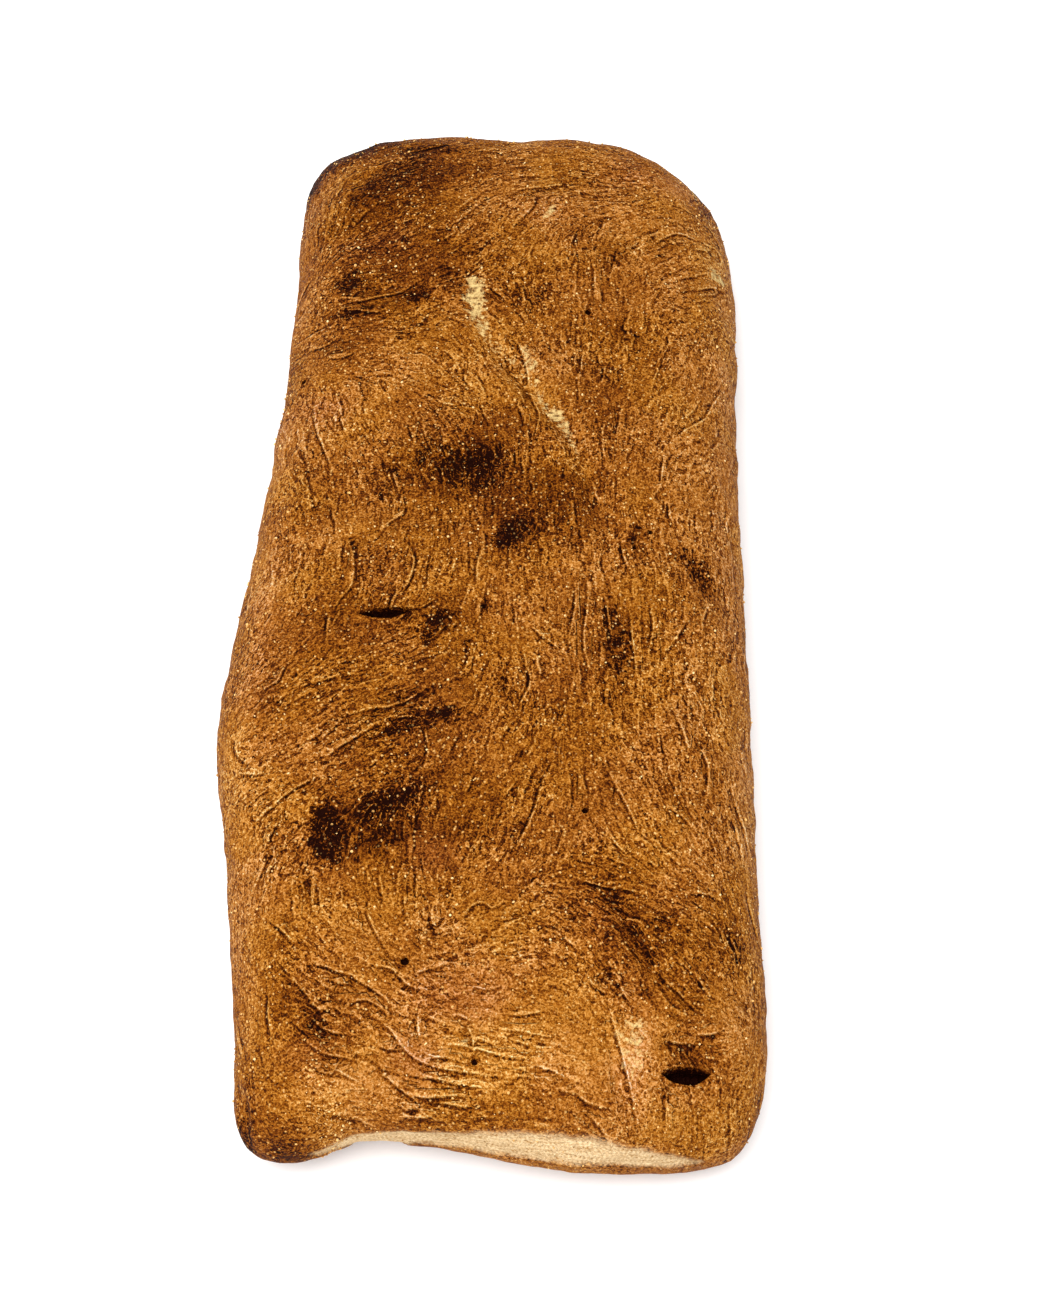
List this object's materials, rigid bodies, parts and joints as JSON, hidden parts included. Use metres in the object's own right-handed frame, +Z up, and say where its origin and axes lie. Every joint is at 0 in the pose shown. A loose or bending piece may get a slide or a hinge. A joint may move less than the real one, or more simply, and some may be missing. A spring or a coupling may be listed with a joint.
{
  "type": "ciabatta loaf",
  "caption": "Long, flat, rectangular rustic bread loaf with a wrinkled golden-brown crust and a flat base, a food item that rests on a table, board or shelf.",
  "frame": {"origin": "middle of the loaf's box at table height, on the flat base", "axes": "+Z up from the flat base to the top crust, +Y along the loaf from its near end to its far end, +X to its right"},
  "size_m": [0.132, 0.3, 0.041],
  "materials": {
    "crust": "matte"
  },
  "bodies": {
    "root": {"ciabatta_loaf": "crust"}
  },
  "joints": []
}
